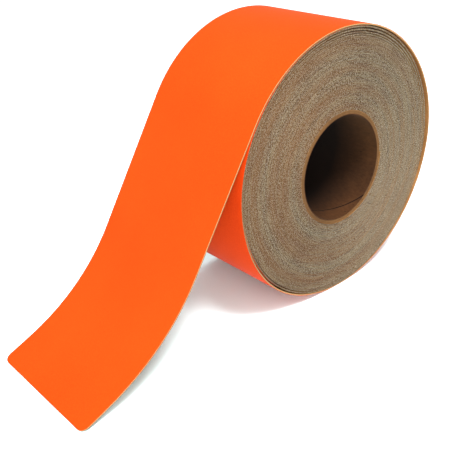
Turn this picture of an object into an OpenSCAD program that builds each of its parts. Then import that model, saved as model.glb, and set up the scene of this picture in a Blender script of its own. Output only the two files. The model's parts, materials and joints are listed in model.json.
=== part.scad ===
// Roll of grit-faced grip tape on a paperboard core, with its free end drawn off.
// Millimetres. Origin at the middle of the core bore, roll axis along Y, +Z up.
// The web is a bonded stack wound as one true spiral: kraft release liner inside,
// adhesive, film, grit coat outside. Each layer keeps its own continuous body.

/* [Core] */
// Inside diameter of the paperboard core
bore_d = 76.2; // [50:0.1:152.4]
// How far each end of the core stands out past the slit edges
core_proud = 0; // [0:0.5:5]
// Thickness of the smooth kraft ply lining the bore
inner_ply_t = 0.5; // [0.2:0.1:1.5]
// Thickness of the spiral-wound board plies
board_t = 2; // [0.8:0.1:8]
// Thickness of the kraft ply under the first turn
outer_ply_t = 0.5; // [0.2:0.1:1.5]

/* [Web] */
// Slit width of the tape
tape_w = 100; // [19:1:200]
// Kraft release liner thickness
liner_t = 0.25; // [0.1:0.05:0.5]
// Adhesive thickness
adhesive_t = 0.2; // [0.1:0.05:0.5]
// Carrier film thickness
film_t = 0.3; // [0.1:0.05:0.6]
// Grit coat thickness
coat_t = 0.45; // [0.2:0.05:1]
// Whole turns wound tightly on the core
turns = 44; // [6:1:60]

/* [Loose outer turn] */
// Widest gap under the outermost turn, on the side away from the free end
side_gap = 5.6; // [0:0.1:12]
// Widest gap under the outermost turn, below the free end
low_gap = 1.4; // [0:0.1:3]
// Direction from the axis in which the free end leaves the roll
leave_deg = 146.5; // [135:0.5:160]

/* [Free end] */
// Radius of the curve that turns the tape out over the floor, liner side
sweep_r = 155; // [80:1:300]
// Angle turned through by that curve
sweep_deg = 34; // [15:1:45]
// Radius of the nearly flat last length
foot_r = 600; // [300:10:900]
// Length of that last length, whose cut end reaches the floor
foot_len = 25; // [10:1:60]
// Radius of the two cut corners at the very end
corner_r = 5.5; // [1:0.5:20]
// Part of the curve that peels with the loose corner end
peel_deg = 8; // [3:1:15]
// Air under the peeling layers, above the liner
peel_gap = 0.08; // [0.04:0.01:0.1]
// Cut between neighbouring lengths of the same layer at a bending line
split_gap = 0.1; // [0.05:0.05:0.3]

/* [Hidden] */
$fn = 180;
half_turn = 180;
ply_r0 = bore_d / 2;
ply_r1 = ply_r0 + inner_ply_t;
ply_r2 = ply_r1 + board_t;
core_r = ply_r2 + outer_ply_t;
core_len = tape_w + 2 * core_proud;
// heights of the layer boundaries above the liner's inner side
adhesive_z = liner_t;
film_z = adhesive_z + adhesive_t;
coat_z = film_z + film_t;
pitch = coat_z + coat_t;
// inner radius of the last tight half turn and of the two natural half turns over it
last_r = core_r + turns * pitch;
low_r = last_r + pitch / 2;
top_r = last_r + pitch;
floor_z = -(low_r + pitch);
// the outermost turn is a chain of tangent arcs; each gap is shaped by changes of radius
low_swell = low_gap / 0.1523;
low_pinch = 0.8477 * low_swell;
side_unit = side_gap / 5.23;
leave_at = leave_deg + 360;
arc_a = [180, 202.5, 247.5, 270, 310, 350, 360, 390, 430, leave_at];
arc_r = [low_r + low_swell, low_r - low_pinch, low_r + low_swell,
    low_r + 7 * side_unit, low_r + 2 * side_unit, low_r - 6 * side_unit,
    top_r - 6 * side_unit, top_r + 6 * side_unit, top_r + 3 * side_unit];
last_arc = len(arc_r) - 1;
// centre of each arc: tangent to the arc before it, so it lies on the shared normal
function arc_step(k) = (k == 0 ? last_r : arc_r[k - 1]) - arc_r[k];
function arc_x(k) = k < 0 ? 0 : arc_x(k - 1) + arc_step(k) * cos(arc_a[k]);
function arc_y(k) = k < 0 ? 0 : arc_y(k - 1) + arc_step(k) * sin(arc_a[k]);
// free end: where the liner's underside leaves the roll, and which way
drop_dir = leave_deg + 90;
leave_x = arc_x(last_arc) + arc_r[last_arc] * cos(leave_deg);
leave_y = arc_y(last_arc) + arc_r[last_arc] * sin(leave_deg);
cut_deg = asin(split_gap / sweep_r);
// slope where the curve ends, and what the last length turns through
foot_slope = drop_dir - sweep_deg - half_turn;
foot_deg = foot_len / foot_r * half_turn / PI;
// heights lost over the curve and the last length; the straight run takes the rest
sweep_fall = sweep_r * (sin(leave_deg - sweep_deg) - sin(leave_deg));
foot_fall = foot_r * (cos(foot_slope - foot_deg) - cos(foot_slope));
drop_len = (leave_y - floor_z - sweep_fall - foot_fall) / -sin(drop_dir);
// centre of the foot's arc and the cut end, in the frame of the free end
foot_x = drop_len + (sweep_r - foot_r) * sin(sweep_deg);
foot_y = -sweep_r + (sweep_r - foot_r) * cos(sweep_deg);
end_x = foot_x + foot_r * sin(sweep_deg + foot_deg);
end_y = foot_y + foot_r * cos(sweep_deg + foot_deg);
// stock left over the slit width and past the end, before the cut
over_w = tape_w + 2;
over_deg = 0.2;
knife_len = 2 * (drop_len + sweep_r);

// stands the winding plane upright: drawn in X and Y, turned to X and Z
module upright() {
    rotate([90, 0, 0]) children();
}

// moves in two steps, thousandths then the rest, so tangent pieces meet exactly
function thou(v) = round(v * 1000) / 1000;

module shift(x, y) {
    translate([thou(x), thou(y)])
        translate([x - thou(x), y - thou(y)])
            children();
}

// arc of one layer, from angle a0 to a1, between two radii
module arc_band(cx, cy, r0, r1, a0, a1, w) {
    shift(cx, cy)
        rotate_extrude(angle = a1 - a0, start = a0)
            shift(r0, -w / 2)
                square([r1 - r0, w]);
}

module tube(r0, r1, len) {
    upright()
        difference() {
            cylinder(r = r1, h = len, center = true);
            cylinder(r = r0, h = len + 1, center = true);
        }
}

// tight turns plus the loose outermost turn, for a layer between heights h0 and h1
module wound(h0, h1) {
    upright()
        union() {
            for (i = [0:turns])
                arc_band(0, 0, core_r + i * pitch + h0, core_r + i * pitch + h1,
                    0, half_turn, tape_w);
            for (i = [0:turns - 1])
                arc_band(pitch / 2, 0, core_r + (i + 0.5) * pitch + h0,
                    core_r + (i + 0.5) * pitch + h1, half_turn, 2 * half_turn, tape_w);
            for (k = [0:last_arc])
                arc_band(arc_x(k), arc_y(k), arc_r[k] + h0, arc_r[k] + h1,
                    arc_a[k], arc_a[k + 1], tape_w);
        }
}

// frame of the free end: origin where it leaves the roll, X down the straight run,
// the grit side towards -Y
module leaving() {
    upright()
        translate([leave_x, leave_y, 0])
            rotate([0, 0, drop_dir])
                children();
}

// straight run down from the roll, cut a little over width
module drop(h0, h1) {
    shift(drop_len, 0)
        translate([split_gap - drop_len, -h1, -over_w / 2])
            cube([drop_len - split_gap, h1 - h0, over_w]);
}

// part of the outward curve; angles count on from where the curve begins
module sweep(h0, h1, from_deg, to_deg) {
    arc_band(drop_len, -sweep_r, sweep_r - h1, sweep_r - h0,
        90 - to_deg, 90 - from_deg, over_w);
}

// nearly flat last length, run on past the end cut
module foot(h0, h1) {
    arc_band(foot_x, foot_y, foot_r - h1, foot_r - h0,
        90 - sweep_deg - foot_deg - over_deg, 90 - sweep_deg, over_w);
}

// keeps the slit width and the end cut with its two rounded corners
module slit_and_cut() {
    intersection() {
        union() children();
        translate([end_x, end_y, 0])
            rotate([0, 0, -sweep_deg - foot_deg])
                rotate([90, 0, 0])
                    linear_extrude(height = 2 * knife_len, center = true) {
                        translate([-knife_len, -tape_w / 2])
                            square([knife_len - corner_r, tape_w]);
                        translate([-knife_len, -tape_w / 2 + corner_r])
                            square([knife_len, tape_w - 2 * corner_r]);
                        for (side = [-1, 1])
                            translate([-corner_r, side * (tape_w / 2 - corner_r)])
                                circle(r = corner_r);
                    }
    }
}

module tail_layer(h0, h1) {
    leaving()
        slit_and_cut() {
            drop(h0, h1);
            sweep(h0, h1, 0, sweep_deg - peel_deg - cut_deg);
        }
}

module flap_layer(h0, h1) {
    leaving()
        slit_and_cut() {
            sweep(h0, h1, sweep_deg - peel_deg, sweep_deg);
            foot(h0, h1);
        }
}

module core_inner_ply() {
    color("#9c6a45") tube(ply_r0, ply_r1, core_len);
}

module core_board() {
    color("#a98258") tube(ply_r1, ply_r2, core_len);
}

module core_outer_ply() {
    color("#a5744c") tube(ply_r2, core_r, core_len);
}

module liner_wound() {
    color("#b08a5c") wound(0, adhesive_z);
}

module adhesive_wound() {
    color("#c9b48c") wound(adhesive_z, film_z);
}

module film_wound() {
    color("#d8cdb8") wound(film_z, coat_z);
}

module coat_wound() {
    color("#ff5f1c") wound(coat_z, pitch);
}

module liner_tail() {
    color("#b08a5c")
        leaving()
            slit_and_cut() {
                drop(0, adhesive_z);
                sweep(0, adhesive_z, 0, sweep_deg);
                foot(0, adhesive_z);
            }
}

module adhesive_tail() {
    color("#c9b48c") tail_layer(adhesive_z, film_z);
}

module film_tail() {
    color("#d8cdb8") tail_layer(film_z, coat_z);
}

module coat_tail() {
    color("#ff5f1c") tail_layer(coat_z, pitch);
}

module adhesive_flap() {
    color("#c9b48c") flap_layer(adhesive_z + peel_gap, film_z);
}

module film_flap() {
    color("#d8cdb8") flap_layer(film_z, coat_z);
}

module coat_flap() {
    color("#ff5f1c") flap_layer(coat_z, pitch);
}

core_inner_ply();
core_board();
core_outer_ply();
liner_wound();
adhesive_wound();
film_wound();
coat_wound();
liner_tail();
adhesive_tail();
film_tail();
coat_tail();
adhesive_flap();
film_flap();
coat_flap();
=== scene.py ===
# Roll of grit-faced grip tape on a board core, free end drawn down to the floor.
# Every layer of the web is one grid swept along the winding: a spiral of half circles,
# a loose outermost turn, then the straight and curved free end.
import json
import bpy
import numpy as np
from mathutils import Matrix, Vector


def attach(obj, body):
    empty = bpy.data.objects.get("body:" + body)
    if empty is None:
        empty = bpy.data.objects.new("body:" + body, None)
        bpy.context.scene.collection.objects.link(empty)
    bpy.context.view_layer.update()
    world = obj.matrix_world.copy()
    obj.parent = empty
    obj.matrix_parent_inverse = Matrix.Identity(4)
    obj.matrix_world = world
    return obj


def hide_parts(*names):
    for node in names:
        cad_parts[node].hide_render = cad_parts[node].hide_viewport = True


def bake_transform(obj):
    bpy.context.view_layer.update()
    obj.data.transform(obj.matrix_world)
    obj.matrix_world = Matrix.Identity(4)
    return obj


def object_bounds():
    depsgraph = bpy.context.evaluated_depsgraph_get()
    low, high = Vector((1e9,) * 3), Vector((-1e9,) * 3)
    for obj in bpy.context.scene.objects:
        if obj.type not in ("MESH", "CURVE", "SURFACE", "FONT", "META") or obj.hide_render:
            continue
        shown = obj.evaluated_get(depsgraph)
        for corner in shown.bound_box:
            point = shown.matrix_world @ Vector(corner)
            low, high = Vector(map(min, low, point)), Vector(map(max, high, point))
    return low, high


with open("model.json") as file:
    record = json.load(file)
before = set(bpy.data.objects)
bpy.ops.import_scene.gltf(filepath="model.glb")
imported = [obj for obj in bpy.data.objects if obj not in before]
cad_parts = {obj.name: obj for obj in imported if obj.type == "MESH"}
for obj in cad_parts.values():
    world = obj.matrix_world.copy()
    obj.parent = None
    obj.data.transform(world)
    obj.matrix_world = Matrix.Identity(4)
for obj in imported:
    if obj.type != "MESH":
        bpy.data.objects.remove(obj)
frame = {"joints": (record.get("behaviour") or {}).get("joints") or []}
cadLow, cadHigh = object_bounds()
mm = 0.001

cameraView = {
    "place": (-0.3606, -0.358, 0.2056),
    "azimuth": -40.48,
    "elevation": 28.89,
    "roll": -3.19,
    "focalLength": 58.15,
    "shift": (-0.0334, 0.0334),
}


def makeCamera(v):
    # right = (cos a, sin a, 0), forward tips down by the elevation, both then rolled
    a, e, r = np.radians([v["azimuth"], v["elevation"], v["roll"]])
    forward = Vector((-np.sin(a) * np.cos(e), np.cos(a) * np.cos(e), -np.sin(e)))
    level = Vector((np.cos(a), np.sin(a), 0))
    up = level.cross(forward)
    right = level * np.cos(r) + up * np.sin(r)
    turn = Matrix((right, right.cross(forward), -forward)).transposed()
    data = bpy.data.cameras.new("camera")
    data.lens = v["focalLength"]
    data.shift_x, data.shift_y = v["shift"]
    data.clip_start = 0.01
    camera = bpy.data.objects.new("camera", data)
    camera.matrix_world = Matrix.Translation(v["place"]) @ turn.to_4x4()
    bpy.context.scene.collection.objects.link(camera)
    bpy.context.scene.camera = camera


def toLinear(code):
    # sRGB hex to linear: ((c + 0.055) / 1.055) ^ 2.4, straight line near black
    c = np.array([int(code[i:i + 2], 16) / 255 for i in (1, 3, 5)])
    c = np.where(c <= 0.04045, c / 12.92, ((c + 0.055) / 1.055) ** 2.4)
    return (*c.tolist(), 1.0)


def addNode(material, kind, inputs=None, settings=None, stops=None, out=0):
    # one node: an input given a socket is linked, a hex code becomes that colour
    tree = material.node_tree
    node = tree.nodes.new(kind)
    for name, value in (settings or {}).items():
        setattr(node, name, value)
    for name, value in (inputs or {}).items():
        if isinstance(value, bpy.types.NodeSocket):
            tree.links.new(value, node.inputs[name])
        else:
            plain = toLinear(value) if isinstance(value, str) else value
            node.inputs[name].default_value = plain
    if stops:
        elements = node.color_ramp.elements
        while len(elements) < len(stops):
            elements.new(0.5)
        for element, (position, code) in zip(elements, stops):
            element.position = position
            element.color = toLinear(code)
    return node.outputs[out]


def newMaterial(name, **shader):
    material = bpy.data.materials.new(name)
    material.use_nodes = True
    surface = material.node_tree.nodes["Principled BSDF"]
    for key, value in shader.items():
        surface.inputs[key.replace("_", " ")].default_value = value
    return material, surface


lights = {
    "overhead": {"place": (-0.5, -0.3, 2.0), "size": 2.6, "power": 88.0},
    "key": {"place": (-0.12, -0.6, 1.2), "size": 0.35, "power": 28.0},
    "fill": {"place": (-0.8, -1.1, 0.35), "size": 0.9, "power": 20.0},
}
room = {"skyStrength": 0.5, "floorHalf": 4.0, "floorColour": "#e2f5f7"}


def makeRoom(floorHeight):
    world = bpy.data.worlds.new("softBox")
    world.use_nodes = True
    background = world.node_tree.nodes["Background"]
    background.inputs["Color"].default_value = (1, 1, 1, 1)
    background.inputs["Strength"].default_value = room["skyStrength"]
    bpy.context.scene.world = world
    for name, v in lights.items():
        data = bpy.data.lights.new(name, "AREA")
        data.size = v["size"]
        data.energy = v["power"]
        lamp = bpy.data.objects.new(name, data)
        lamp.location = v["place"]
        lamp.rotation_euler = (-Vector(v["place"])).to_track_quat("-Z", "Y").to_euler()
        bpy.context.scene.collection.objects.link(lamp)
    h = room["floorHalf"]
    corners = [(x * h, y * h, floorHeight) for x, y in ((-1, -1), (1, -1), (1, 1), (-1, 1))]
    mesh = bpy.data.meshes.new("floor")
    mesh.from_pydata(corners, [], [(0, 1, 2, 3)])
    floor = bpy.data.objects.new("floor", mesh)
    bpy.context.scene.collection.objects.link(floor)
    paper, surface = newMaterial("studioPaper", Roughness=0.9)
    surface.inputs["Base Color"].default_value = toLinear(room["floorColour"])
    mesh.materials.append(paper)


makeCamera(cameraView)
makeRoom(cadLow.z)
bpy.context.scene.view_settings.view_transform = "Standard"
print("camera, floor and light made")

# The same driving sizes as the CAD source, in metres and degrees.
core = {
    "bore": 38.1 * mm,          # inner radius
    "lining": 0.5 * mm,
    "board": 2 * mm,
    "wrap": 0.5 * mm,
    "half": 50 * mm,            # half the core's length
}
layers = {                      # heights above the liner's inner side
    "liner": (0, 0.25 * mm),
    "adhesive": (0.25 * mm, 0.45 * mm),
    "film": (0.45 * mm, 0.75 * mm),
    "coat": (0.75 * mm, 1.2 * mm),
}
web = {
    "half": 50 * mm,            # half the slit width
    "turns": 44,
    "sideGap": 5.6 * mm,        # widest gap under the outer turn, on the right
    "lowGap": 1.4 * mm,         # the same, at the lower left
    "leave": 146.5,             # direction in which the free end leaves
    "sweepRadius": 155 * mm,
    "sweep": 34.0,
    "footRadius": 600 * mm,
    "footLength": 25 * mm,
    "cornerRadius": 5.5 * mm,
    "bendFrom": 100.0,          # direction from which the outer turn may bend away
}
looseTurn = {
    # each arc of the outer turn: the direction where it starts, and how far its radius is
    # from the tight turn's, in units of the lower left gap and of the right gap
    "arcs": [(180, 1, 0), (202.5, -0.8477, 0), (247.5, 1, 0), (270, 0, 7), (310, 0, 2),
             (350, 0, -6), (360, 0, -6), (390, 0, 6), (430, 0, 3)],
    "lowGapPerUnit": 0.1523,    # gap that one unit of radius opens
    "sideGapPerUnit": 5.23,
}
spacing = {                     # distance between points along the winding
    "tight": 2 * mm,
    "loose": 1.5 * mm,
    "free": 1.2 * mm,
    "foot": 0.4 * mm,           # fine, for the two rounded corners
}
pitch = layers["coat"][1]
coreRadius = core["bore"] + core["lining"] + core["board"] + core["wrap"]
lastRadius = coreRadius + web["turns"] * pitch


def windingArcs():
    # rows of (centre x, centre z, radius, start, end in degrees), liner inner side
    rows = []
    for i in range(web["turns"]):
        rows.append((0, 0, coreRadius + i * pitch, 0, 180))
        rows.append((pitch / 2, 0, coreRadius + (i + 0.5) * pitch, 180, 360))
    rows.append((0, 0, lastRadius, 0, 180))
    return rows


def looseArcs():
    # outermost turn: tangent arcs, each centre on the normal shared with the arc before;
    # radius = tight turn's + a * low unit + b * side unit
    lowUnit = web["lowGap"] / looseTurn["lowGapPerUnit"]
    sideUnit = web["sideGap"] / looseTurn["sideGapPerUnit"]
    ends = [start for start, a, b in looseTurn["arcs"][1:]] + [web["leave"] + 360]
    rows, x, z, before = [], 0.0, 0.0, lastRadius
    for (start, a, b), end in zip(looseTurn["arcs"], ends):
        natural = lastRadius + (pitch / 2 if start < 360 else pitch)
        radius = natural + a * lowUnit + b * sideUnit
        x += (before - radius) * np.cos(np.radians(start))
        z += (before - radius) * np.sin(np.radians(start))
        rows.append((x, z, radius, start, end))
        before = radius
    return rows


def arcPoints(row, step, outward=1):
    # points = centre + R (cos t, sin t); the grit side's normal is outward * (cos t, sin t)
    x, z, radius, start, end = row
    n = max(2, int(abs(np.radians(end - start)) * radius / step) + 1)
    t = np.radians(np.linspace(start, end, n))
    ray = np.column_stack([np.cos(t), np.sin(t)])
    return np.column_stack([x, z]) + radius * ray, outward * ray


def linePoints(begin, end, normal, step):
    # points = begin + u (end - begin), u from 0 to 1
    n = max(2, int(np.linalg.norm(end - begin) / step) + 1)
    u = np.linspace(0, 1, n)[:, None]
    return begin + u * (end - begin), np.repeat(normal[None], n, 0)


def joinRuns(runs, startLength=0.0):
    # chains runs of points, dropping each repeated joint, and measures length along them
    points = np.vstack([runs[0][0]] + [p[1:] for p, q in runs[1:]])
    normals = np.vstack([runs[0][1]] + [q[1:] for p, q in runs[1:]])
    steps = np.linalg.norm(np.diff(points, axis=0), axis=1)
    return {"p": points, "n": normals, "s": startLength + np.r_[0, np.cumsum(steps)]}


def freeEnd():
    # straight run, sweep and foot after the leaving point; the straight run takes the height
    # that sweep and foot leave: R (sin(leave - sweep) - sin(leave)) and
    # R (cos(slope - turn) - cos(slope)) are lost over them
    leave = np.radians(web["leave"])
    last = looseArcs()[-1]
    ray = np.array([np.cos(leave), np.sin(leave)])
    heading = np.array([-ray[1], ray[0]])
    begin = np.array(last[:2]) + last[2] * ray
    slope = web["leave"] - 90 - web["sweep"]
    turn = np.degrees(web["footLength"] / web["footRadius"])
    swept, unswept, landing, sloping = np.radians(
        [web["leave"] - web["sweep"], web["leave"], slope - turn, slope])
    fall = web["sweepRadius"] * (np.sin(swept) - np.sin(unswept))
    fall += web["footRadius"] * (np.cos(landing) - np.cos(sloping))
    floorHeight = -(lastRadius + 1.5 * pitch)
    straight = (begin[1] - floorHeight - fall) / -heading[1]
    sweepBegin = begin + straight * heading
    sweepCentre = sweepBegin + web["sweepRadius"] * ray
    a = web["leave"] + 180
    b = a - web["sweep"]
    sweepRow = (*sweepCentre, web["sweepRadius"], a, b)
    far = np.array([np.cos(np.radians(b)), np.sin(np.radians(b))])
    footCentre = sweepCentre + (web["sweepRadius"] - web["footRadius"]) * far
    footRow = (*footCentre, web["footRadius"], b, b - turn)
    return {"begin": begin, "heading": heading, "normal": ray, "straight": straight,
            "sweep": sweepRow, "foot": footRow}


def makePaths():
    # wound: core to bendFrom on the outer turn; bend: to mid straight; end: to the cut
    tail = freeEnd()
    loose = looseArcs()
    x, z, radius, start, end = loose[-1]
    split = web["bendFrom"] + 360
    middle = tail["begin"] + tail["straight"] / 2 * tail["heading"]
    sweepBegin = tail["begin"] + tail["straight"] * tail["heading"]
    inner = [arcPoints(r, spacing["tight"]) for r in windingArcs()]
    outer = [arcPoints(r, spacing["loose"]) for r in loose[:-1] + [(x, z, radius, start, split)]]
    wound = joinRuns(inner + outer)
    wound["loose"] = sum(len(p) - 1 for p, q in inner)
    bend = joinRuns([arcPoints((x, z, radius, split, end), spacing["free"]),
                     linePoints(tail["begin"], middle, tail["normal"], spacing["free"])],
                    wound["s"][-1])
    last = joinRuns([linePoints(middle, sweepBegin, tail["normal"], spacing["free"]),
                     arcPoints(tail["sweep"], spacing["free"], -1),
                     arcPoints(tail["foot"], spacing["foot"], -1)], bend["s"][-1])
    return wound, bend, last, tail


woundPath, bendPath, endPath, tail = makePaths()
tightLength = float(woundPath["s"][woundPath["loose"]])      # of web, up to the loose turn
tapeLength = round(float(endPath["s"][-1]), 2)
print("winding path:", len(woundPath["p"]), "points,", tapeLength, "m of tape")

edgeWear = {
    "wander": 0.06 * mm,        # sideways drift of the turns while winding
    "waves": (0.37, 0.61, 1.3, 2.9, 5.1),        # lengths of the drift's waves, in metres
    "wavePeak": 1.6,            # about the most that their sum reaches
    "wanderFade": 0.5,          # metres before the loose turn over which it dies out
    "secondGap": 0.5 * mm,      # the turn under the loose one also lifts a little
    "secondSpan": (0.98, 0.5),  # starts this far before the last half turn, and its length
    "slack": (2.0 * mm, 1.2 * mm, 0.6 * mm, 0.2 * mm),      # last tight turns, outside first
    "slackSpan": (-70.0, 165.0),         # directions between which they lift
    "recess": {"liner": 0.0, "adhesive": 0.06 * mm, "film": 0.02 * mm, "coat": 0.03 * mm},
    "rough": {"liner": 0.04 * mm, "adhesive": 0.04 * mm, "film": 0.04 * mm, "coat": 0.05 * mm},
    "cornerRough": 0.35,        # share of the roughness at the two corners of a slit edge
    "cornerRound": 0.03 * mm,   # how far those corners stand back
    "airGap": 0.05 * mm,        # liner stands off the grit peaks under it
}
rng = np.random.default_rng(11)
# each wave: its length, its phase in radians and its height
wanderWaves = [(length, rng.uniform(0, 6.28), rng.uniform(0.4, 1)) for length in edgeWear["waves"]]


def wander(s):
    # sum of sine waves a sin(2 pi s / length + f), dying out towards the loose turn
    total = sum(a * np.sin(2 * np.pi * s / length + f) for length, f, a in wanderWaves)
    fade = np.clip((tightLength - s) / edgeWear["wanderFade"], 0, 1)
    return edgeWear["wander"] * total / edgeWear["wavePeak"] * fade * fade


def lift(s):
    # smooth humps h sin^2(pi u): one at the lower left, one over the top of each slack turn
    half = np.pi * lastRadius
    end = tightLength - half
    back, long = edgeWear["secondSpan"]
    u = np.clip((s - (end - half * back)) / (half * long), 0, 1)
    total = edgeWear["secondGap"] * np.sin(np.pi * u) ** 2
    start, stop = (a / 180 * half for a in edgeWear["slackSpan"])
    for turnsBack, height in enumerate(edgeWear["slack"]):
        shrink = turnsBack * turnsBack * pitch / 2
        turnStart = end + start - 2 * np.pi * (turnsBack * lastRadius - shrink)
        u = np.clip((s - turnStart) / (stop - start), 0, 1)
        total = total + height * np.sin(np.pi * u) ** 2
    return total


sharpFrom = 38.0                # degrees between faces from which an edge is drawn sharp


def makeObject(name, points, faces, materials, choice, along=None):
    # choice is a material number for each face, along a vector kept at each point
    mesh = bpy.data.meshes.new(name)
    mesh.from_pydata(points, [], faces)
    for material in materials:
        mesh.materials.append(material)
    mesh.polygons.foreach_set("material_index", np.asarray(choice, np.int32))
    mesh.polygons.foreach_set("use_smooth", np.ones(len(faces), bool))
    if along is not None:
        data = mesh.attributes.new("along", "FLOAT_VECTOR", "POINT")
        data.data.foreach_set("vector", np.asarray(along, np.float32).ravel())
    mesh.set_sharp_from_angle(angle=np.radians(sharpFrom))
    mesh.update()
    piece = bpy.data.objects.new(name, mesh)
    bpy.context.scene.collection.objects.link(piece)
    return piece


def ringFaces(rows, columns):
    # quads between neighbouring rows of a closed ring of columns, and the two end caps
    i = np.arange(rows - 1)[:, None] * columns
    j = np.arange(columns)[None]
    k = (j + 1) % columns
    quads = np.stack([i + j, i + k, i + columns + k, i + columns + j], -1).reshape(-1, 4).tolist()
    last = (rows - 1) * columns
    return quads, [list(range(columns))[::-1], [last + c for c in range(columns)]]


def sweepLayer(name, path, layer, cutEnd=False, rising=False):
    # grid of path point by section corner: P + N h in the winding plane, and across the web
    # y = -+(half - bite) + wander; each slit edge has a middle corner
    low, high = layers[layer]
    if layer == "liner":
        low = edgeWear["airGap"]
    p, n, s = path["p"], path["n"], path["s"]
    half = np.full(len(s), web["half"])
    if cutEnd:                  # rounded corners: half width = half - r + sqrt(r^2 - u^2)
        r = web["cornerRadius"]
        u = np.clip(s - (s[-1] - r), 0, r)
        half = half - r + np.sqrt(np.maximum(r * r - u * u, 0))
    drift = wander(s)
    heights = [low, (low + high) / 2, high]
    own = np.random.default_rng(sum(map(ord, name)))
    recess, rough = edgeWear["recess"][layer], edgeWear["rough"][layer]
    raised = lift(s) if rising else 0 * s
    columns = []
    for side in (-1, 1):
        for h in heights if side < 0 else heights[::-1]:
            middle = h == heights[1]
            share = 1.0 if middle else edgeWear["cornerRough"]
            back = 0 if middle else edgeWear["cornerRound"]
            bite = recess + rough * share * own.uniform(0, 1, len(s)) + back
            y = side * (half - bite) + drift
            xz = p + n * (h + raised)[:, None]
            columns.append(np.column_stack([xz[:, 0], y, xz[:, 1]]))
    grid = np.stack(columns, 1)
    count = grid.shape[1]
    # along: metres along the web, metres across, height in the web
    along = np.stack([np.repeat(s[:, None], count, 1), grid[:, :, 1],
                      np.repeat([heights + heights[::-1]], len(s), 0)], -1)
    quads, caps = ringFaces(len(s), count)
    # round the section: two faces of one slit edge, the grit side, the other edge, the back
    isEdge = np.tile([1, 1, 0, 1, 1, 0], len(s) - 1)
    choice = np.r_[isEdge, np.ones(len(caps))]
    return makeObject(name, grid.reshape(-1, 3), quads + caps, [faceOf[layer], edgeOf[layer]],
                      choice, along.reshape(-1, 3))


texCoord, noiseTex, rampOf, mixOf, rangeOf, mathOf, vectorMath = (
    "ShaderNodeTexCoord", "ShaderNodeTexNoise", "ShaderNodeValToRGB", "ShaderNodeMix",
    "ShaderNodeMapRange", "ShaderNodeMath", "ShaderNodeVectorMath")
objectPlace = 3                 # output of a texture coordinate node: place on the object
colourMix = {"settings": {"data_type": "RGBA"}, "out": 2}        # its inputs are 0, 6 and 7


def dress(material, surface, colour, height=None, strength=0.0, depth=0.0):
    # the pattern's colour and, where a height is given, its fine relief
    material.node_tree.links.new(colour, surface.inputs["Base Color"])
    if height is not None:
        relief = addNode(material, "ShaderNodeBump",
                         {"Height": height, "Strength": strength, "Distance": depth})
        material.node_tree.links.new(relief, surface.inputs["Normal"])


def metresAlong(material):
    # distance along the web from the core, kept at every point of its meshes
    along = addNode(material, "ShaderNodeAttribute", settings={"attribute_name": "along"}, out=1)
    return addNode(material, "ShaderNodeSeparateXYZ", {0: along})


gritFinish = {
    "orange": "#bc3407",
    "deep": "#b02e06",
    "pale": "#c63b0a",
    "grain": 0.9 * mm,          # 60 grit is 0.25 mm; drawn coarser so that it shows
    "patches": 14.0,            # broad patches per metre
    "patchShare": 0.45,
    "bump": (0.12, 0.2 * mm),   # strength and depth
    "packShade": "#3d2a17",           # painted shade: dark brown for the coat's face between tight turns, seen only in the gaps
    "plainOrangeFrom": (-0.65, -0.6),  # metres from the tight turns' end; the coat is plain orange from there
}


def makeGritCoat():
    # Anti-slip coat, mineral grains in pigmented resin: matt, even orange with a fine grain.
    v = gritFinish
    material, surface = newMaterial("gritResinOrange", Roughness=0.82, IOR=1.5,
                                    Specular_IOR_Level=0.03, Sheen_Weight=0.05, Sheen_Roughness=0.3)
    place = addNode(material, texCoord, out=objectPlace)
    grain = addNode(material, noiseTex, {"Vector": place, "Scale": 1 / v["grain"],
                                         "Roughness": 0.7})
    patch = addNode(material, noiseTex, {"Vector": place, "Scale": v["patches"]})
    fine = addNode(material, rampOf, {0: grain},
                   stops=[(0.3, v["deep"]), (0.5, v["orange"]), (0.72, v["pale"])])
    broad = addNode(material, rampOf, {0: patch}, stops=[(0.3, v["orange"]), (0.7, v["pale"])])
    colour = addNode(material, mixOf, {0: v["patchShare"], 6: fine, 7: broad}, **colourMix)
    # painted shade: deep in the pack the coat's face is dark brown, standing for shade in the gaps
    # between turns
    start, stop = (tightLength + d for d in v["plainOrangeFrom"])
    plainOrange = addNode(material, rangeOf, {"Value": metresAlong(material), "From Min": start,
                                       "From Max": stop})
    colour = addNode(material, mixOf, {0: plainOrange, 6: v["packShade"], 7: colour}, **colourMix)
    dress(material, surface, colour, grain, *v["bump"])
    return material


slitFinish = {                  # two colours of each layer's slit edge, dark and light
    "liner": ("#301f0b", "#4f371b"),
    "adhesive": ("#221607", "#3f2b10"),
    "film": ("#3f3423", "#5f5641"),
    "coat": ("#3d230c", "#564731"),
    "dust": "#7c7469",          # pale mineral and paper dust left by the slitting knife
    "dusty": {"From Min": 0.5, "From Max": 0.6, "To Max": 0.7},
    "pit": "#140c04",           # torn-out grains
    "torn": {"From Min": 0.46, "From Max": 0.38, "To Max": 0.75},
    "ochre": "#4e2a09",
    "shaded": {"From Min": 0.32, "From Max": 0.78, "To Max": 0.42},
    "clean": {"liner": "#6f4f2c", "adhesive": "#63461f", "film": "#97805a", "coat": "#a2440f"},
    "freshFrom": (-0.03, 0.1),  # clean from here on, metres from the end of the tight turns
    "freshShare": 0.9,
    "streak": (16 * mm, 1.2 * mm),       # length and width of the streaks along the winding
    "band": (300 * mm, 9 * mm),          # the same, of the ochre bands
    "lean": -2.4,               # painted shade: pushes the ochre to one side of the end face, per metre
    "speck": 1.0 * mm,          # grains and fibres on the edge, coarser so that they show
    "bump": (0.5, 0.3 * mm),
    "around": 60 * mm,          # about the mean radius of the web's turns
}


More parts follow.
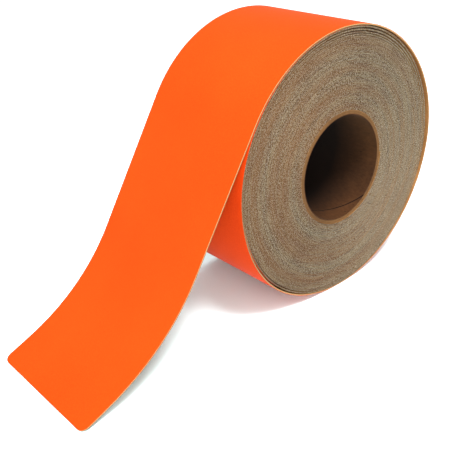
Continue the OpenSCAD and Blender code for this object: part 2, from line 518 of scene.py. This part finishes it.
def aroundAxis(material, place, length, width):
    # noise place in rounds: (x/r, z/r) * mean radius / length, and r / width, without a seam
    k = slitFinish["around"] / length
    flat = addNode(material, vectorMath, {0: place, 1: (1, 0, 1)}, {"operation": "MULTIPLY"})
    unit = addNode(material, vectorMath, {0: flat}, {"operation": "NORMALIZE"})
    ring = addNode(material, vectorMath, {0: unit, 1: (k, 0, k)}, {"operation": "MULTIPLY"})
    radius = addNode(material, vectorMath, {0: flat}, {"operation": "LENGTH"}, out=1)
    rounds = addNode(material, mathOf, {0: radius, 1: width}, {"operation": "DIVIDE"})
    height = addNode(material, "ShaderNodeCombineXYZ", {"Y": rounds})
    return addNode(material, vectorMath, {0: ring, 1: height}, {"operation": "ADD"})


def makeSlitEdge(layer):
    # Knife-cut edge of one layer: short streaks along the winding, pale dust, dark torn pits.
    v = slitFinish
    dark, light = v[layer]
    material, surface = newMaterial("slitEdge_" + layer, Roughness=0.88, Specular_IOR_Level=0.12)
    place = addNode(material, texCoord, out=objectPlace)
    rounds = aroundAxis(material, place, *v["streak"])
    streak = addNode(material, noiseTex, {"Vector": rounds, "Scale": 1.0, "Detail": 3.0,
                                          "Roughness": 0.75})
    speck = addNode(material, noiseTex, {"Vector": place, "Scale": 1 / v["speck"],
                                         "Detail": 3.0, "Roughness": 0.85})
    colour = addNode(material, rampOf, {0: streak}, stops=[(0.4, dark), (0.6, light)])
    dusty = addNode(material, rangeOf, {"Value": speck, **v["dusty"]})
    colour = addNode(material, mixOf, {0: dusty, 6: colour, 7: v["dust"]}, **colourMix)
    torn = addNode(material, rangeOf, {"Value": speck, **v["torn"]})
    colour = addNode(material, mixOf, {0: torn, 6: colour, 7: v["pit"]}, **colourMix)
    # ochre bands vary at random along the winding; the lean gathers them on one side of the end
    # face as painted shade
    rounds = aroundAxis(material, place, *v["band"])
    band = addNode(material, noiseTex, {"Vector": rounds, "Scale": 1.0, "Detail": 1.0,
                                        "Roughness": 0.4})
    sideways = addNode(material, "ShaderNodeSeparateXYZ", {0: place})
    leaning = addNode(material, mathOf, {0: sideways, 1: v["lean"], 2: band},
                      {"operation": "MULTIPLY_ADD"})
    shaded = addNode(material, rangeOf, {"Value": leaning, **v["shaded"]})
    colour = addNode(material, mixOf, {0: shaded, 6: colour, 7: v["ochre"]}, **colourMix)
    # the last turn and the free end are freshly unwound, so their edges are clean
    start, stop = (tightLength + d for d in v["freshFrom"])
    fresh = addNode(material, rangeOf, {"Value": metresAlong(material), "From Min": start,
                                        "From Max": stop, "To Max": v["freshShare"]})
    colour = addNode(material, mixOf, {0: fresh, 6: colour, 7: v["clean"][layer]}, **colourMix)
    dress(material, surface, colour, speck, *v["bump"])
    return material


kraftFinish = {
    "liner": ("#6a4826", "#936a3e"),
    "lining": ("#281608", "#432813"),
    "board": ("#432c17", "#5e4024"),
    "wrap": ("#4e3017", "#694827"),
    # painted shade: near-black paper for the floor of the bore's seam groove
    "seamShade": ("#0b0603", "#150c06"),
    "fibre": 1.6 * mm,          # paper fibres are 1 to 3 mm long
    "stretch": (1, 0.4, 1),     # they lie along the axis
    "clouds": 28.0,             # uneven patches per metre
    "cloudShare": 0.5,
    "bump": (0.25, 0.1 * mm),
    "fleck": 2.4 * mm,
    "fleckEdge": (0.1, 0.24),   # a fleck fades out over this part of its cell
    "fleckKeep": {"From Min": 0.5, "From Max": 0.56},        # only where fibres are dense
    "fleckColour": "#1a0f07",
    "boreShade": "#060302",         # painted shade: the bore's lining is painted near black away from its ends, deep inside
    "shaded": {"From Min": 44 * mm, "From Max": 10 * mm, "To Max": 0.92},
}


def makeKraft(part, gloss=0.75, flecks=0.0, shaded=False):
    # Kraft paper, long-fibre and brown: faint lengthwise fibres, a few dark shives.
    v = kraftFinish
    dark, light = v[part]
    material, surface = newMaterial("kraftPaper_" + part, Roughness=gloss, Specular_IOR_Level=0.1)
    place = addNode(material, texCoord, out=objectPlace)
    lengthwise = addNode(material, vectorMath, {0: place, 1: v["stretch"]},
                         {"operation": "MULTIPLY"})
    fibre = addNode(material, noiseTex, {"Vector": lengthwise, "Scale": 1 / v["fibre"],
                                         "Detail": 4.0, "Roughness": 0.7})
    cloud = addNode(material, noiseTex, {"Vector": place, "Scale": v["clouds"], "Detail": 3.0})
    fine = addNode(material, rampOf, {0: fibre}, stops=[(0.3, dark), (0.7, light)])
    broad = addNode(material, rampOf, {0: cloud}, stops=[(0.35, dark), (0.65, light)])
    colour = addNode(material, mixOf, {0: v["cloudShare"], 6: fine, 7: broad}, **colourMix)
    if flecks:
        cell = addNode(material, "ShaderNodeTexVoronoi", {"Vector": lengthwise,
                                                          "Scale": 1 / v["fleck"]})
        inner, outer = v["fleckEdge"]
        spot = addNode(material, rangeOf, {"Value": cell, "From Min": inner, "From Max": outer,
                                           "To Min": flecks, "To Max": 0.0})
        keep = addNode(material, rangeOf, {"Value": fibre, **v["fleckKeep"]})
        both = addNode(material, mathOf, {0: spot, 1: keep}, {"operation": "MULTIPLY"})
        colour = addNode(material, mixOf, {0: both, 6: colour, 7: v["fleckColour"]}, **colourMix)
    # painted shade: the paper darkens away from its ends, standing for the shade deep in a bore
    if shaded:
        lengths = addNode(material, "ShaderNodeSeparateXYZ", {0: place}, out=1)
        inward = addNode(material, mathOf, {0: lengths}, {"operation": "ABSOLUTE"})
        boreShade = addNode(material, rangeOf, {"Value": inward, **v["shaded"]})
        colour = addNode(material, mixOf, {0: boreShade, 6: colour, 7: v["boreShade"]}, **colourMix)
    dress(material, surface, colour, fibre, *v["bump"])
    return material


adhesiveFinish = {"dark": "#a88a58", "light": "#b8a074", "flow": 7 * mm, "bump": (0.3, 0.2 * mm)}
filmFinish = {"dark": "#aaa28e", "light": "#b9b2a2", "haze": 5 * mm}


def makeAdhesive():
    # Acrylic pressure-sensitive adhesive, a clear amber film: glossy and slightly uneven.
    v = adhesiveFinish
    material, surface = newMaterial("acrylicAdhesive", Roughness=0.28, IOR=1.47)
    place = addNode(material, texCoord, out=objectPlace)
    flow = addNode(material, noiseTex, {"Vector": place, "Scale": 1 / v["flow"]})
    colour = addNode(material, rampOf, {0: flow}, stops=[(0.3, v["dark"]), (0.7, v["light"])])
    dress(material, surface, colour, flow, *v["bump"])
    return material


def makeFilm():
    # PVC carrier film, calendered: milky and satin.
    v = filmFinish
    material, surface = newMaterial("pvcFilm", Roughness=0.45, IOR=1.53)
    place = addNode(material, texCoord, out=objectPlace)
    haze = addNode(material, noiseTex, {"Vector": place, "Scale": 1 / v["haze"]})
    colour = addNode(material, rampOf, {0: haze}, stops=[(0.3, v["dark"]), (0.7, v["light"])])
    dress(material, surface, colour)
    return material


faceOf = {"liner": makeKraft("liner", 0.55), "adhesive": makeAdhesive(), "film": makeFilm(),
          "coat": makeGritCoat()}
edgeOf = {layer: makeSlitEdge(layer) for layer in layers}
print("materials made")


def finishPiece(piece, body, replaced):
    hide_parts(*replaced)
    if isinstance(body, str):
        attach(piece, body)
    else:
        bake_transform(piece)


def lengthAt(path, place):
    # length along the path at its point nearest to a place in the winding plane
    return path["s"][int(np.argmin(np.linalg.norm(path["p"] - place, axis=1)))]


def placeAt(path, length):
    # the path's point nearest to a length along it, on the roll's middle plane
    x, z = path["p"][int(np.argmin(np.abs(path["s"] - length)))]
    return (float(x), 0.0, float(z))


# how far before and after a joint's line its bend spreads along the web
bending = {"before": 26 * mm, "after": 22 * mm, "peelBefore": 4 * mm, "peelAfter": 13 * mm}
joints = {j["name"]: Vector(j["pos_m"]) for j in frame["joints"]}
leaveAt = lengthAt(bendPath, tail["begin"])
peelAt = lengthAt(endPath, np.array([joints["tape_peel"].x, joints["tape_peel"].z]))
lifting = ("roll", "free_end", placeAt(bendPath, leaveAt - bending["before"]),
           placeAt(bendPath, leaveAt + bending["after"]))
peeling = ("free_end", "peel_end", placeAt(endPath, peelAt - bending["peelBefore"]),
           placeAt(endPath, peelAt + bending["peelAfter"]))


def joinPaths(a, b):
    return {"p": np.vstack([a["p"], b["p"][1:]]), "n": np.vstack([a["n"], b["n"][1:]]),
            "s": np.r_[a["s"], b["s"][1:]]}


for layer in layers:
    piece = sweepLayer(layer + "_wound_web", woundPath, layer, rising=True)
    finishPiece(piece, "roll", [layer + "_wound"])
    if layer == "liner":        # it doesn't peel, so its free end is one piece
        wholeEnd = joinPaths(bendPath, endPath)
        piece = sweepLayer("liner_free_end", wholeEnd, layer, cutEnd=True)
        finishPiece(piece, lifting, ["liner_tail"])
        continue
    piece = sweepLayer(layer + "_bend", bendPath, layer)
    finishPiece(piece, lifting, [layer + "_tail"])
    piece = sweepLayer(layer + "_free_end", endPath, layer, cutEnd=True)
    finishPiece(piece, peeling, [layer + "_flap"])
print("web made")

boreSeam = {                    # butt joint of the lining ply, one spiral line down the bore
    "pitch": -143 * mm,
    "width": 1.1 * mm,
    "depth": 0.42 * mm,
    "at": 183.3,                # its direction at the middle of the roll
    "columns": [-1.6, -0.8, -0.3, 0.3, 0.8, 1.6],        # in widths, either side of it
}
boardLines = {"count": 4, "depth": 0.12 * mm, "back": 0.1 * mm}      # plies at the end faces
tubeGrid = {"along": 21, "around": 241, "seamAlong": 101, "seamAround": 181}
hair = 1e-6                     # a micrometre, less than any real difference of radius


def makeTube(name, inner, outer, half, materials, grooves=0, groove=0.0, seam=None):
    # closed section (radius, y) carried round the axis: (r cos t, y, r sin t), twisted with y
    # by the seam's pitch, so that the seam follows one column
    along = np.linspace(-half, half, tubeGrid["seamAlong" if seam else "along"])
    plies = np.linspace(inner, outer, 2 * grooves + 2) if grooves else np.array([inner, outer])
    dips = groove * (np.arange(len(plies)) % 2)
    endOut = np.column_stack([plies, half - dips])
    inside = np.column_stack([np.full(len(along), inner), along])
    outside = np.column_stack([np.full(len(along), outer), along[::-1]])
    section = np.vstack([inside[:-1], endOut[:-1], outside[:-1], (endOut * [1, -1])[::-1][:-1]])
    t = np.linspace(0, 2 * np.pi, tubeGrid["seamAround" if seam else "around"])[:-1]
    if seam:                    # fine columns at the seam take the place of three even ones
        t = np.r_[np.array(seam["columns"]) * (seam["width"] / inner), t[2:-1]]
    r = np.repeat(section[None, :, 0], len(t), 0)
    y = np.repeat(section[None, :, 1], len(t), 0)
    twist = 0 * y
    if seam:
        twist = 2 * np.pi * y / seam["pitch"] + np.radians(seam["at"])
        fromSeam = np.abs((t + np.pi) % (2 * np.pi) - np.pi)[:, None]
        inGroove = fromSeam < 0.5 * seam["width"] / inner
        r = r + np.where(inGroove & (r < inner + hair), seam["depth"], 0)
    angle = t[:, None] + twist
    points = np.stack([r * np.cos(angle), y, r * np.sin(angle)], -1).reshape(-1, 3)
    rows, columns = len(t), len(section)
    i, j = np.arange(rows)[:, None], np.arange(columns)[None]
    a, b = i * columns + j, i * columns + (j + 1) % columns
    c, d = ((i + 1) % rows) * columns + (j + 1) % columns, ((i + 1) % rows) * columns + j
    faces = np.stack([a, d, c, b], -1).reshape(-1, 4).tolist()
    choice = np.zeros((rows, columns))
    if seam:                    # painted shade: the faces that touch the groove's floor get near-black paper, standing for shade in the groove
        floor = r[:, :len(along)].max(1) > inner + hair
        choice[:, :len(along) - 1] = (floor | np.roll(floor, -1))[:, None]
    return makeObject(name, points, faces, materials, choice.ravel())


r0 = core["bore"]
r1 = r0 + core["lining"]
r2 = r1 + core["board"]
# the lining carries painted shade deep in the bore; the seam's paper is painted shade in its groove
liningPapers = [makeKraft("lining", 0.9, 0.9, True), makeKraft("seamShade", 0.9)]
lining = makeTube("core_lining", r0, r1, core["half"], liningPapers, seam=boreSeam)
boardHalf = core["half"] - boardLines["back"]
board = makeTube("core_board_plies", r1, r2, boardHalf, [makeKraft("board", 0.9)],
                 boardLines["count"], boardLines["depth"])
wrap = makeTube("core_wrap", r2, coreRadius, core["half"], [makeKraft("wrap", 0.7)])
for piece, node, slot in ((lining, "core_inner_ply", "core_liner_ply"),
                          (board, "core_board", "core_board"),
                          (wrap, "core_outer_ply", "core_outer_ply")):
    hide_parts(node)
    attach(piece, "roll")
print("core made")
